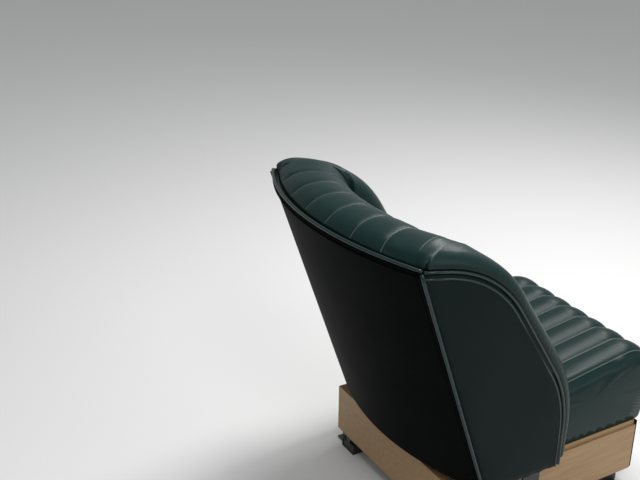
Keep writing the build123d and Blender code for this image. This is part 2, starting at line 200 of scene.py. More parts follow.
# Meshes.
MERGE = 1e-5
TUBE_SIDES = 10
FILL_FRAMES = 16
FILL_SETTINGS = {
    "quality": 6,
    "mass": 0.25,
    "tension_stiffness": 12,
    "compression_stiffness": 12,
    "shear_stiffness": 6,
    "bending_stiffness": 5.0,
    "use_pressure": True,
}


def skin(bm, loops):
    """Rings of points joined into a capped skin, each ring drawn out of the one before."""
    ring = bmesh.ops.create_circle(bm, segments=len(loops[0]), radius=1.0)["verts"]
    first = edges = list(dict.fromkeys(e for v in ring for e in v.link_edges))
    order = []
    for i, loop in enumerate(loops):
        if i > 0:
            made = bmesh.ops.extrude_edge_only(bm, edges=edges)["geom"]
            fresh = set(made)
            ring = [next(e.other_vert(v) for e in v.link_edges if e.other_vert(v) in fresh) for v in ring]
            edges = [g for g in made if isinstance(g, bmesh.types.BMEdge) and fresh.issuperset(g.verts)]
        order += ring
        for vert, place in zip(ring, loop):
            vert.co = place
    bmesh.ops.edgeloop_fill(bm, edges=first)
    bmesh.ops.edgeloop_fill(bm, edges=edges)
    for place, vert in enumerate(order):
        vert.index = place
    bm.verts.sort()
    bmesh.ops.recalc_face_normals(bm, faces=bm.faces)


def sharpen(bm, faces):
    """Keeps the rim of flat end faces sharp under subdivision and in shading."""
    crease = bm.edges.layers.float.new("crease_edge")
    for edge in {e for f in faces for e in f.edges}:
        edge[crease] = 1.0
        edge.smooth = False
    return crease


def tube(points, radius):
    """A round cord along a line of points."""
    turns = [2 * math.pi * k / TUBE_SIDES for k in range(TUBE_SIDES)]
    loops = []
    normal = None
    for i, place in enumerate(points):
        ahead = (points[min(i + 1, len(points) - 1)] - points[max(i - 1, 0)]).normalized()
        normal = ahead.orthogonal() if normal is None else normal
        normal = (normal - ahead * normal.dot(ahead)).normalized()
        other = ahead.cross(normal)
        loops.append([place + (normal * math.cos(t) + other * math.sin(t)) * radius for t in turns])
    bm = bmesh.new()
    skin(bm, loops)
    return bm


def piece(name, bm, body, finish, slot, *nodes):
    """A finished mesh as an object that moves with a body and stands for its CAD nodes."""
    mesh = bpy.data.meshes.new(name)
    bm.to_mesh(mesh)
    bm.free()
    obj = bpy.data.objects.new(name, mesh)
    scene.collection.objects.link(obj)
    mesh.materials.append(finish)
    for face in mesh.polygons:
        face.use_smooth = True
    if nodes:
        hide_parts(*nodes)
    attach(obj, body)
    return obj


def inflate(obj, held, pressure, cap, ease=None):
    """Fills a pad as cloth under pressure, held at its seams, and keeps the result."""
    ease = ease or [1.0] * len(obj.data.vertices)
    group = obj.vertex_groups.new(name="seams")
    group.add(held, 1.0, "REPLACE")
    before = [v.co.copy() for v in obj.data.vertices]
    cloth = obj.modifiers.new("fill", "CLOTH")
    for setting, value in FILL_SETTINGS.items():
        setattr(cloth.settings, setting, value)
    cloth.settings.uniform_pressure_force = pressure
    cloth.settings.vertex_group_mass = group.name
    cloth.settings.effector_weights.gravity = 0
    cloth.collision_settings.use_collision = False
    cloth.point_cache.frame_end = FILL_FRAMES
    for i in range(1, FILL_FRAMES + 1):
        scene.frame_set(i)
    filled = obj.evaluated_get(bpy.context.evaluated_depsgraph_get()).data
    after = [v.co.copy() for v in filled.vertices]
    obj.modifiers.remove(cloth)
    for vert, a, b, share in zip(obj.data.vertices, before, after, ease):
        move = b - a
        vert.co = a + move * share * min(1.0, cap / max(move.length, 1e-9))
    scene.frame_set(1)
    obj.vertex_groups.remove(group)


def subdivide(obj):
    smooth = obj.modifiers.new("smooth", "SUBSURF")
    smooth.levels = 1
    smooth.render_levels = 1
    smooth.use_limit_surface = False


def mark(obj, name, values):
    """A number for each vertex that the finish reads."""
    layer = obj.data.attributes.new(name, "FLOAT", "POINT")
    layer.data.foreach_set("value", values)


def boundary(bm):
    return [e for e in bm.edges if e.is_boundary]


# Finishes.
def new_group(name, inputs, outputs):
    tree = bpy.data.node_groups.new(name, "ShaderNodeTree")
    for label, kind, value in inputs:
        tree.interface.new_socket(label, in_out="INPUT", socket_type=kind).default_value = value
    for label, kind in outputs:
        tree.interface.new_socket(label, in_out="OUTPUT", socket_type=kind)
    return tree, tree.nodes.new("NodeGroupInput"), tree.nodes.new("NodeGroupOutput")


def add(tree, kind, settings=(), **links):
    """A node with its settings and what feeds its inputs; i0 and i1 stand for the first two."""
    node = tree.nodes.new(kind)
    for key, value in dict(settings).items():
        setattr(node, key, value)
    for label, value in links.items():
        numbered = label[0] == "i" and label[1:].isdigit()
        socket = node.inputs[int(label[1:])] if numbered else node.inputs[label]
        if isinstance(value, bpy.types.NodeSocket):
            tree.links.new(value, socket)
        else:
            socket.default_value = value
    return node


def math_node(tree, operation, a, b):
    return add(tree, "ShaderNodeMath", {"operation": operation}, i0=a, i1=b).outputs[0]


def shaded(tree, factor, low, high):
    """A colour between two, each a plain colour or what another node gives."""
    low, high = [c if isinstance(c, bpy.types.NodeSocket) else (*c, 1) for c in (low, high)]
    return add(tree, "ShaderNodeMix", {"data_type": "RGBA"}, Factor=factor, A=low, B=high).outputs["Result"]


def spread(tree, factor, low, high, start=0.0, end=1.0):
    """A number that runs from low to high while the factor runs from start to end."""
    limits = {"From Min": start, "From Max": end, "To Min": low, "To Max": high}
    return add(tree, "ShaderNodeMapRange", Value=factor, **limits).outputs[0]


def object_place(tree):
    return add(tree, "ShaderNodeTexCoord").outputs["Object"]


def finish_with(shader, tree, colour, roughness, height, strength, depth):
    """Feeds a shader its colour, roughness and a fine relief."""
    bump = add(tree, "ShaderNodeBump", Height=height, Strength=strength, Distance=depth)
    tree.links.new(colour, shader.inputs["Base Color"])
    tree.links.new(roughness, shader.inputs["Roughness"])
    tree.links.new(bump.outputs[0], shader.inputs["Normal"])


def new_finish(name):
    mat = bpy.data.materials.new(name)
    mat.use_nodes = True
    return mat, mat.node_tree, mat.node_tree.nodes["Principled BSDF"]


def hide_grain():
    """Fine pebbled hide: pores between small cells, and slow changes of shade."""
    tree, given, result = new_group(
        "hide_grain",
        [("Cells", "NodeSocketFloat", 620.0), ("Crease", "NodeSocketFloat", 0.5)],
        [("Height", "NodeSocketFloat"), ("Shade", "NodeSocketFloat"), ("Gloss", "NodeSocketFloat")],
    )
    place = object_place(tree)
    cells = add(tree, "ShaderNodeTexVoronoi", Vector=place, Scale=given.outputs["Cells"])
    domes = math_node(tree, "SUBTRACT", 1.0, cells.outputs["Distance"])
    cloud = add(tree, "ShaderNodeTexNoise", Vector=place, Scale=9.0, Detail=3.0, Roughness=0.6)
    creases = math_node(tree, "MULTIPLY", cloud.outputs["Fac"], given.outputs["Crease"])
    tree.links.new(math_node(tree, "SUBTRACT", domes, creases), result.inputs["Height"])
    tree.links.new(cloud.outputs["Fac"], result.inputs["Shade"])
    tree.links.new(cells.outputs["Distance"], result.inputs["Gloss"])
    return tree


GRAIN = hide_grain()
# Painted highlight: a pale line on the seams where the crown mark falls below SEAM_START, fading out by
# SEAM_END, standing for the glint along the seams' edges.
PAINTED_SEAM_GLINT = (0.07, 0.115, 0.108)
SEAM_START, SEAM_END = 0.14, 0.34


def leather(name, deep, crown, rough, depth=0.00025, seam_shade_and_glint=None, shine=0.15):
    """Hide of a random tone; with a seam mark it gets painted shade towards its seams and a painted
    highlight, a pale line, on them.
    """
    mat, tree, shader = new_finish(name)
    grain = add(tree, "ShaderNodeGroup", {"node_tree": GRAIN})
    tone = grain.outputs["Shade"]
    # Painted shade: where a seam mark is given, a low mark draws the colour towards the deep, shaded
    # colour.
    if seam_shade_and_glint:
        mask = add(tree, "ShaderNodeAttribute", {"attribute_name": seam_shade_and_glint}).outputs["Fac"]
        tone = math_node(tree, "MULTIPLY", mask, spread(tree, tone, 0.75, 1.15))
    colour = shaded(tree, tone, deep, crown)
    # Painted highlight: a pale line where the seam mark is lowest.
    if seam_shade_and_glint:
        colour = shaded(tree, spread(tree, mask, 1.0, 0.0, SEAM_START, SEAM_END), colour, PAINTED_SEAM_GLINT)
    rubbed = spread(tree, tone, rough + 0.06, rough - 0.04)
    gloss = math_node(tree, "ADD", rubbed, spread(tree, grain.outputs["Gloss"], 0.0, 0.08))
    finish_with(shader, tree, colour, gloss, grain.outputs["Height"], 0.35, depth)
    shader.inputs["Specular IOR Level"].default_value = shine
    return mat


def speckled(name, low, high, rough, metal=0.0, scale=60.0):
    """Paint, steel or rubber with a fine uneven surface."""
    mat, tree, shader = new_finish(name)
    place = object_place(tree)
    fine = add(tree, "ShaderNodeTexNoise", Vector=place, Scale=scale * 12, Detail=3.0)
    slow = add(tree, "ShaderNodeTexNoise", Vector=place, Scale=scale / 4, Detail=4.0).outputs["Fac"]
    gloss = spread(tree, slow, rough - 0.08, rough + 0.1)
    finish_with(shader, tree, shaded(tree, slow, low, high), gloss, fine.outputs["Fac"], 0.25, 0.0002)
    shader.inputs["Metallic"].default_value = metal
    return mat


def plywood(name):
    """Birch ply: face grain along the seat and thin veneers on the edges."""
    mat, tree, shader = new_finish(name)
    place = object_place(tree)
    stretch = add(tree, "ShaderNodeMapping", Vector=place, Scale=(55, 4, 55)).outputs[0]
    fine = add(tree, "ShaderNodeTexNoise", Vector=stretch, Scale=2.2, Detail=6.0, Distortion=0.6)
    grain = fine.outputs["Fac"]
    bands = {"bands_direction": "Z"}
    veneer = add(tree, "ShaderNodeTexWave", bands, Vector=place, Scale=120.0, Distortion=0.3)
    fibres = math_node(tree, "MULTIPLY", grain, 0.75)
    layers = math_node(tree, "MULTIPLY", veneer.outputs["Fac"], 0.2)
    colour = shaded(tree, math_node(tree, "ADD", fibres, layers), (0.20, 0.11, 0.045), (0.50, 0.33, 0.17))
    finish_with(shader, tree, colour, spread(tree, grain, 0.42, 0.62), grain, 0.2, 0.0004)
    return mat


CROWN_GREEN = (0.0064, 0.0235, 0.0218)
# Painted shade: the fluted hide's deep colour is laid where its crown mark is low, along the seams, inside
# the rear edge and at the rolls' foot.
FLUTED_HIDE = leather("fluted_hide", (0.0026, 0.0100, 0.0094), CROWN_GREEN, 0.34, seam_shade_and_glint="crown")
PLAIN_HIDE = leather("plain_hide", (0.0048, 0.0170, 0.0160), CROWN_GREEN, 0.36)
# Painted shade: a darker, duller copy of the green hide, for the wings' outer panels in their shade; the
# front valance wears it too.
PANEL_SHADED_HIDE = leather("panel_shaded_hide", (0.0018, 0.0070, 0.0066), (0.0028, 0.0100, 0.0094), 0.42, shine=0.08)
# Painted shade: the rear face's green hide drawn near-black, as it looks in deep shade; its hem and the
# inner corner welt wear it too.
REAR_SHADED_HIDE = leather("rear_shaded_hide", (0.0012, 0.0016, 0.0016), (0.0020, 0.0027, 0.0027), 0.58, shine=0.03)
PIPING_HIDE = leather(
    "piping_hide", (0.0055, 0.0180, 0.0170), (0.0080, 0.0270, 0.0250), 0.24, depth=0.00012, shine=0.4
)
BLACK_STEEL = speckled("black_steel", (0.010, 0.010, 0.011), (0.020, 0.020, 0.021), 0.42)
BRIGHT_STEEL = speckled("bright_steel", (0.42, 0.42, 0.43), (0.60, 0.60, 0.61), 0.30, metal=1.0, scale=90.0)
RUBBER = speckled("buffer_rubber", (0.012, 0.012, 0.012), (0.026, 0.026, 0.026), 0.75)
PLY = plywood("varnished_ply")


# The fluted back. Seams lie at whole shares of the flutes' count, and a vertex that is nearer to
# one than ON_SEAM belongs to it.
FLUTE_STEPS = 10
FLUTE_RISE = 2.6
FLUTE_POWER = 5.0
SEAM_DRAW = 0.8
ON_SEAM = 0.01
# Painted shade: the crown mark that darkens the hide is SEAM_TONE on a seam, rises by SEAM_FADE per flute
# away from it, and is EDGE_TONE in the crease inside the rear edge.
SEAM_TONE, SEAM_FADE, EDGE_TONE = 0.12, 13, 0.4
REAR_FADE = 14.0
REAR_HELD = 4.0
FOOT_HELD = 14.0
FOOT_PLAIN = 20.0
END_LIFT = 3.0
END_LIFT_BAND = (10, 60)
END_DIP = 2.0


def pad_profile():
    """The back pad cut in its middle: up the rear, over the roll, down the front and along its foot."""
    rear = [(PAD_BACK, -PAD_DROP + i * PAD_DROP / 8) for i in range(9)]
    rise = [(14.0, 1.8), (18.0, 3.6), (25.0, 6.3), (32.0, 8.6)]
    roll = [
        (ROLL_CREST + ROLL_RADIUS * math.sin(t), ROLL_CENTRE + ROLL_RADIUS * math.cos(t))
        for t in quarter_turn(16)
    ]
    front = ROLL_CREST + ROLL_RADIUS
    shares = [i / 60 for i in range(1, 61)]
    face = [(front + (PAD_FOOT - front) * s, ROLL_CENTRE + (-PAD_DROP - ROLL_CENTRE) * s) for s in shares]
    foot = [(PAD_FOOT + (PAD_BACK - PAD_FOOT) * i / 8, -PAD_DROP) for i in range(1, 8)]
    return [*rear, *rise, *roll, *face, *foot]


def level_foot(angle, depth, up):
    """A height on the pad, drawn up so that its foot lies level on the bottom board."""
    start = ROLL_CENTRE - 30
    if up > start:
        return up
    board = WING_FOOT + 9.5
    forward = BACK_RADIUS - (BACK_RADIUS - depth) * math.cos(angle)
    drop = BACK_RADIUS * (1 - math.cos(angle)) * TOP_LINE
    foot = (board - forward * math.sin(RECLINE)) / math.cos(RECLINE) + drop
    return start + (up - start) * (foot - start) / (-PAD_DROP - start)


def flute_swell(share):
    """How full a flute is at a place across the pad; the two end flutes run on without a seam."""
    if share < 0.5 or share > BACK_FLUTES - 0.5:
        return 1.0
    across = abs(2 * (share - math.floor(share)) - 1)
    return 1 - across**FLUTE_POWER


def past_crease(depth):
    """How far a place has risen out of the crease inside the rear edge, from 0 to 1."""
    return clamp((depth - PAD_BACK) / REAR_FADE)


def end_lift(depth, up):
    """How much higher the pad's ends stand where they run into the wings."""
    return END_LIFT * past_crease(depth) * bell(up, *END_LIFT_BAND)


def to_seam(share):
    return abs(share - min(BACK_FLUTES - 1, max(1, round(share))))


def to_end(share):
    return min(share, BACK_FLUTES - share)


def on_back(place):
    """Angle, depth, height and outward direction of a point of the plain, still level back."""
    away = place - TURN_CENTRE
    up = away.dot(LEAN_UP)
    radial = away - LEAN_UP * up
    angle = math.atan2(radial.x, radial.dot(Vector((0, math.cos(RECLINE), -math.sin(RECLINE)))))
    return angle, BACK_RADIUS - radial.length * 1000, up * 1000, radial.normalized()


def back_facing():
    """The pad spun round the back, fluted and filled between its seams."""
    bm = bmesh.new()
    verts = [bm.verts.new(leaned(0, depth, up)) for depth, up in pad_profile()]
    edges = [bm.edges.new(pair) for pair in zip(verts, [*verts[1:], verts[0]])]
    bmesh.ops.rotate(bm, verts=verts, cent=TURN_CENTRE, matrix=Matrix.Rotation(-BORDER_ANGLE, 3, LEAN_UP))
    bmesh.ops.spin(
        bm, geom=verts + edges, cent=TURN_CENTRE, axis=LEAN_UP, angle=2 * BORDER_ANGLE,
        steps=BACK_FLUTES * FLUTE_STEPS, use_merge=False,
    )
    bmesh.ops.remove_doubles(bm, verts=bm.verts, dist=MERGE)
    bmesh.ops.recalc_face_normals(bm, faces=bm.faces)
    bm.normal_update()
    flute, depth_layer = bm.verts.layers.float.new("flute"), bm.verts.layers.float.new("depth")
    places = []
    for vert in bm.verts:
        angle, depth, up, radial = on_back(vert.co)
        share = (angle / BORDER_ANGLE + 1) / 2 * BACK_FLUTES
        share -= SEAM_DRAW / (2 * math.pi) * math.sin(2 * math.pi * share)
        vert[flute], vert[depth_layer] = share, depth
        angle = (2 * share / BACK_FLUTES - 1) * BORDER_ANGLE
        rise = FLUTE_RISE * flute_swell(share) * past_crease(depth)
        if up < FOOT_PLAIN - PAD_DROP:
            rise = 0.0
        if to_end(share) < ON_SEAM and depth > PAD_BACK + 2:
            rise -= END_DIP
        depth -= rise * vert.normal.dot(radial)
        up += rise * vert.normal.dot(LEAN_UP)
        up += (angle / BORDER_ANGLE) ** 4 * end_lift(depth, up)
        places.append(round_back(angle, depth, level_foot(angle, depth, up)))
    for vert, place in zip(bm.verts, places):
        vert.co = place
    ends = bmesh.ops.holes_fill(bm, edges=boundary(bm))["faces"]
    bmesh.ops.recalc_face_normals(bm, faces=bm.faces)
    crease = sharpen(bm, ends)
    held, crowns, ease = [], [], []
    bm.verts.index_update()
    for vert in bm.verts:
        share, depth = vert[flute], vert[depth_layer]
        gap = to_seam(share)
        if gap < ON_SEAM or depth < PAD_BACK + REAR_HELD or vert.co.z < (BACK_BOTTOM + FOOT_HELD) / 1000:
            held.append(vert.index)
        # Painted shade and highlight: a low crown mark darkens the hide near the seams and the rear edge,
        # and puts the pale line on the seams.
        crowns.append(min(1.0, SEAM_TONE + gap * SEAM_FADE) if depth > PAD_BACK + 2 else EDGE_TONE)
        ease.append(clamp((to_end(share) - 0.3) * 3))
    for edge in bm.edges:
        if all(to_seam(v[flute]) < ON_SEAM for v in edge.verts):
            edge[crease] = 0.7
    obj = piece("back_facing", bm, "backrest", FLUTED_HIDE, "green_leather", "back_pad")
    mark(obj, "crown", crowns)
    inflate(obj, held, pressure=2.0, cap=0.0012, ease=ease)
    subdivide(obj)


# The wings' rolls. A ring has two points under its edge, then its lip, outer side, inner side and
# under side.
OUTER_STEPS, INNER_STEPS, UNDER_STEPS, CORNER_STEPS, WING_STEPS = 12, 12, 7, 16, 110
LIP = 2
WING_EDGE = wing_outline()
WING_START, WING_END = WING_ROLL[0][0], WING_ROLL[-1][0]
UNDER_DROP, UNDER_SLOPE = 8, 0.75
BORDER_SUNK = 0.35
BORDER_LAP, BORDER_BEFORE = 0.003, 0.02
# Painted shade: crown marks for each ring's first points, darkening the roll along its foot beside the
# piping.
ROLL_FOOT_SHADE = (0.4, 0.4, 0.4, 0.5, 0.7, 0.85, 0.95)

# The corner's tuck and its two lips: depth, place along the edge and width. Then the puckers.
TUCKS = ((-5.5, -5.0, 4.0), (2.2, -14.0, 5.0), (2.6, 4.5, 5.0))
TUCK_BAND = (4.0, 10.0)
PUCKER_DEPTH, PUCKER_BAND, PUCKER_START = 0.45, (9.0, 8.0), 30


def wing_ring(side, share):
    """One ring of the roll, across the wing's edge."""
    turn, crest, height, width, fall = table_at(WING_ROLL, share)
    place, ahead = along(WING_EDGE, share)
    turn = math.radians(turn)
    slant = 1 / math.cos(turn)
    inwards = Matrix.Rotation(side * turn, 3, "Z") @ Vector((-side, 0, 0))
    up = Vector((0, ahead.y, ahead.x))
    up = (up - inwards * up.dot(inwards)).normalized()
    start = row(side * HALF_WIDTH, *place) + inwards * ROLL_EDGE * slant / 1000
    inset, lining = ROLL_INSET * slant, min(LINING_FACE * slant, 0.7 * width)
    drop = UNDER_DROP + UNDER_SLOPE * (width - lining)
    flat = [(inset, -ROLL_SINK), (0.4 * inset, 0.4 * ROLL_LIP)]
    flat += [
        (crest * (1 - math.cos(t)), ROLL_LIP + (height - ROLL_LIP) * math.sin(t))
        for t in quarter_turn(OUTER_STEPS)
    ]
    flat += [
        (crest + (width - crest) * math.sin(t), (height + fall) * math.cos(t) - fall)
        for t in quarter_turn(INNER_STEPS, 1)
    ]
    flat += [
        (lining + (width - lining) * math.cos(t), -fall - drop * math.sin(t))
        for t in quarter_turn(UNDER_STEPS, 1)
    ]
    flat += [(0.5 * (lining + inset), -0.6 * (fall + drop))]
    return [start + (inwards * a + up * b) / 1000 for a, b in flat]


def border_ring(angle):
    """The roll's first ring, where it runs on from the end flute."""
    swollen = ROLL_RADIUS + FLUTE_RISE - BORDER_SUNK

    def over(degrees):
        turn = math.radians(degrees)
        return ROLL_CREST + swollen * math.sin(turn), ROLL_CENTRE + swollen * math.cos(turn)

    rise = [(PAD_BACK + 0.2, -0.5), (14.0, 2.2), (18.0, 5.2), (25.0, 9.8), (32.0, 12.6), over(0)]
    under = [over(60), over(70), over(80), over(90), (128, -100), (120, -116), (106, -122)]
    flat = [(PAD_BACK + 0.4, -12.0), (PAD_BACK + 0.3, -6.0)]
    flat += spaced(rise, OUTER_STEPS)
    flat += [over(60 * i / INNER_STEPS) for i in range(1, INNER_STEPS + 1)]
    flat += spaced(under, UNDER_STEPS)[1:]
    flat += [(60.0, -70.0)]
    return [round_back(angle, depth, up + end_lift(depth, up)) for depth, up in flat]


def corner_rings(side, first, last, ahead):
    """Rings that carry the roll round the corner, from the end flute to the wing."""
    before = border_ring(side * (BORDER_ANGLE - BORDER_BEFORE))

    def carried(a, b, p, q, t):
        reach = (b - a).length
        return eased(a, (a - p).normalized() * reach, b, (q - b).normalized() * reach, t)

    shares = [k / CORNER_STEPS for k in range(CORNER_STEPS)]
    return [[carried(*ends, t) for ends in zip(first, last, before, ahead)] for t in shares]


def tucked(rings):
    """Gathers the hide in a small tuck at the corner and in fine puckers along the edge."""

    def step(i):
        return (rings[i][LIP] - rings[max(0, i - 1)][LIP]).length * 1000

    corner = sum(step(i) for i in range(CORNER_STEPS + 1))
    walked = 0.0
    for i, ring in enumerate(rings):
        walked += step(i)
        run = walked - corner
        out = (ring[LIP] - ring[LIP + 9]).normalized()
        inner = ring[LIP + 4] - ring[LIP]
        lift = (inner - out * inner.dot(out)).normalized()
        tuck = sum(depth * bell(run, place, width) for depth, place, width in TUCKS)
        for j in range(LIP, LIP + OUTER_STEPS):
            climb = (ring[j] - ring[LIP]).length * 1000
            wave = math.sin(run / 1.9 + climb / 5.0 + 2.0 * math.sin(run / 17.0))
            pucker = PUCKER_DEPTH * wave * bell(climb, *PUCKER_BAND) * clamp(run / PUCKER_START)
            swell = tuck * bell(climb, *TUCK_BAND) + pucker
            ring[j] = ring[j] + (out * 0.6 + lift * 0.8) * swell / 1000
    return rings


def wing_roll(name, side):
    """The padded roll from the end flute round the corner and down the wing."""
    shares = [WING_START + (WING_END - WING_START) * i / WING_STEPS for i in range(WING_STEPS + 1)]
    wing = [wing_ring(side, share) for share in shares]
    first = border_ring(side * (BORDER_ANGLE - BORDER_LAP))
    rings = tucked(corner_rings(side, first, wing[0], wing[2]) + wing)
    bm = bmesh.new()
    skin(bm, rings)
    sharpen(bm, [f for f in bm.faces if len(f.verts) > 4])
    # Painted shade: the roll's foot gets low crown marks; the rest of each ring stays at full crown.
    tones = [*ROLL_FOOT_SHADE, *[1.0] * (len(first) - len(ROLL_FOOT_SHADE))]
    label = f"wing_roll_{name}"
    obj = piece(f"{label}_cover", bm, "backrest", FLUTED_HIDE, "green_leather", label)
    mark(obj, "crown", tones * len(rings))
    subdivide(obj)


# The wings' linings, panels and trim.
LINING_DRAWN_IN, LINING_VOXEL = 0.003, 0.005
LINING_SEWN = 0.2335
PANEL_ROWS, PANEL_COLUMNS = 64, 26
PANEL_CROWN, PANEL_SLOPE = 1.8, 14
PANEL_TURN, PANEL_HEM = 2.4, 2.5
PANEL_RIM = 6
REAR_HALF, REAR_ROWS, REAR_COLUMNS = 239.0, 40, 60
REAR_TOP_FALL = math.radians(6.8)
WELTS = (("welt", 246.8, 1.2, 0.0033, PIPING_HIDE), ("bead", 240.8, 0.2, 0.0027, REAR_SHADED_HIDE))


def soft_copy(node, name):
    """A soft CAD solid as an even mesh, drawn in a little before it is filled."""
    bm = bmesh.new()
    bm.from_mesh(frame["nodes"][node].data)
    bmesh.ops.remove_doubles(bm, verts=bm.verts, dist=MERGE)
    mesh = bpy.data.meshes.new(name)
    bm.to_mesh(mesh)
    bm.free()
    rough = bpy.data.objects.new(name, mesh)
    scene.collection.objects.link(rough)
    even = rough.modifiers.new("even", "REMESH")
    even.mode = "VOXEL"
    even.voxel_size = LINING_VOXEL
    bm = bmesh.new()
    bm.from_object(rough, bpy.context.evaluated_depsgraph_get())
    bpy.data.objects.remove(rough)
    for _ in range(3):
        bmesh.ops.smooth_vert(
            bm, verts=bm.verts, factor=0.5, use_axis_x=True, use_axis_y=True, use_axis_z=True
        )
    bm.normal_update()
    for vert in bm.verts:
        vert.co -= vert.normal * LINING_DRAWN_IN
    return piece(name, bm, "backrest", PLAIN_HIDE, "green_leather", node)


def wing_lining(name):
    """The padded inner face of a wing, swollen from its plain solid."""
    obj = soft_copy(f"wing_lining_{name}", f"wing_lining_{name}_cover")
    low = min(v.co.z for v in obj.data.vertices) + 0.004
    held = [v.index for v in obj.data.vertices if v.co.z < low or abs(v.co.x) > LINING_SEWN]
    inflate(obj, held, pressure=4.0, cap=0.006)
    subdivide(obj)


def side_panel(name, side):
    """The plain outer face of a wing, softly crowned inside its edge, and the hem along it."""
    front = wing_outline(-0.5)[::-1]
    foot, start = front[0], front[-1]
    rear = [Vector((start.x + (start.y - foot.y) * math.tan(RECLINE), foot.y)), start]
    border = [*front, *spaced(rear[::-1], 40)[1:], *spaced([rear[0], foot], 20)[1:]]
    bm = bmesh.new()
    bmesh.ops.create_grid(bm, x_segments=PANEL_COLUMNS, y_segments=PANEL_ROWS, size=0.5)
    for vert in bm.verts:
        u, v = vert.co.x + 0.5, vert.co.y + 0.5
        place = along(rear, v)[0].lerp(along(front, v)[0], u)
        inside = min((place - p).length for p in border)
        crown = PANEL_CROWN * (1 - math.exp(-inside / PANEL_SLOPE))
        crown -= PANEL_TURN * math.exp(-inside / PANEL_HEM)
        vert.co = row(side * (HALF_WIDTH + crown), *place)
    bmesh.ops.remove_doubles(bm, verts=bm.verts, dist=1e-4)
    rim = bmesh.ops.extrude_edge_only(bm, edges=boundary(bm))["geom"]
    for vert in [g for g in rim if isinstance(g, bmesh.types.BMVert)]:
        vert.co.x = side * (HALF_WIDTH - PANEL_RIM) / 1000
    bmesh.ops.recalc_face_normals(bm, faces=bm.faces)
    if sum(f.normal.x * f.calc_area() for f in bm.faces) * side < 0:
        bmesh.ops.reverse_faces(bm, faces=bm.faces)
    label = f"side_panel_{name}"
    obj = piece(f"{label}_cover", bm, "backrest", PANEL_SHADED_HIDE, "green_leather", label)
    hem = [row(side * (HALF_WIDTH - 0.2), *place) for place in wing_outline(-7.0)]
    piece(f"side_hem_{name}", tube(hem, 0.0021), "backrest", PIPING_HIDE, "piping_leather")


def wing_trim(name, side):
    """Piping along a wing's edge, and a double welt down its rear corner."""
    line = [row(side * (HALF_WIDTH - 3), *place) for place in wing_outline(3.3)]
    label = f"wing_piping_{name}"
    piece(f"{label}_cover", tube(line, 0.003), "backrest", PIPING_HIDE, "piping_leather", label)
    foot = BACK_BOTTOM / 1000
    for label, x, out, radius, finish in WELTS:
        start = BACK_RADIUS - math.sqrt(BACK_RADIUS**2 - x * x)
        top = leaned(side * x, start - out, -start * TOP_LINE + 1)
        bottom = Vector((top.x, top.y - (top.z - foot) * math.tan(RECLINE), foot))
        points = [top.lerp(bottom, i / 30) for i in range(31)]
        piece(f"corner_{label}_{name}", tube(points, radius), "backrest", finish, "piping_leather")


def rear_line(half_width, depth, up):
    """Points along the back's rear edge, from side to side."""
    angles = [math.asin(half_width / BACK_RADIUS) * (i / 40 - 1) for i in range(81)]
    return [round_back(a, depth, up) for a in angles]


def back_panel():
    """The plain rear face, one bent hide over the shell, with piping and a hem along its top."""
    half = math.asin(REAR_HALF / BACK_RADIUS)
    bm = bmesh.new()
    verts = [bm.verts.new(leaned(0, 0, up)) for up in (40, -PAD_DROP)]
    edge = bm.edges.new(verts)
    bmesh.ops.subdivide_edges(bm, edges=[edge], cuts=REAR_ROWS)
    bmesh.ops.rotate(bm, verts=bm.verts, cent=TURN_CENTRE, matrix=Matrix.Rotation(-half, 3, LEAN_UP))
    bmesh.ops.spin(
        bm, geom=[*bm.verts, *bm.edges], cent=TURN_CENTRE, axis=LEAN_UP, angle=2 * half, steps=REAR_COLUMNS,
        use_merge=False,
    )
    bmesh.ops.remove_doubles(bm, verts=bm.verts, dist=MERGE)
    top = (row(0, 0, 0.3), (0, math.sin(REAR_TOP_FALL), -math.cos(REAR_TOP_FALL)))
    foot = (row(0, 0, WING_FOOT), (0, 0, 1))
    for place, normal in (top, foot):
        geom = [*bm.verts, *bm.edges, *bm.faces]
        bmesh.ops.bisect_plane(bm, geom=geom, plane_co=place, plane_no=normal, clear_inner=True)
    bmesh.ops.recalc_face_normals(bm, faces=bm.faces)
    if sum(f.normal.y for f in bm.faces) < 0:
        bmesh.ops.reverse_faces(bm, faces=bm.faces)
    bmesh.ops.solidify(bm, geom=bm.faces[:], thickness=0.0055)
    # Painted shade: the rear face and its hem get the near-black hide.
    obj = piece("back_panel_cover", bm, "backrest", REAR_SHADED_HIDE, "dark_leather", "back_panel")
    piping = tube(rear_line(246.5, 2.6, 4.2), 0.003)
    piece("back_piping_cover", piping, "backrest", PIPING_HIDE, "piping_leather", "back_piping")
    hem = tube(rear_line(243.0, -0.6, -9.5), 0.0024)
    piece("back_hem", hem, "backrest", REAR_SHADED_HIDE, "dark_leather")


# The cushion, in distances forward of the back's rear edge and heights above the floor.
CUSHION_LOW = 148.5
CUSHION_HEEL = (
    (310.0, CUSHION_LOW), (303.0, 168.0), (296.0, 188.0), (289.0, 208.0),
    (284.0, 226.0), (284.5, 240.0), (290.0, 251.0), (301.0, 258.0),
)
NOSE_FORWARD, NOSE_UP, NOSE_RADIUS = 619, 240, 62
CUSHION_STEPS, CUSHION_BORDER_STEPS = 8, 6
CUSHION_BORDER = 19.5
CUSHION_RISE, CUSHION_POWER = 0.006, 2.4
CUSHION_ON_SEAM = 0.02
CUSHION_HELD = 153


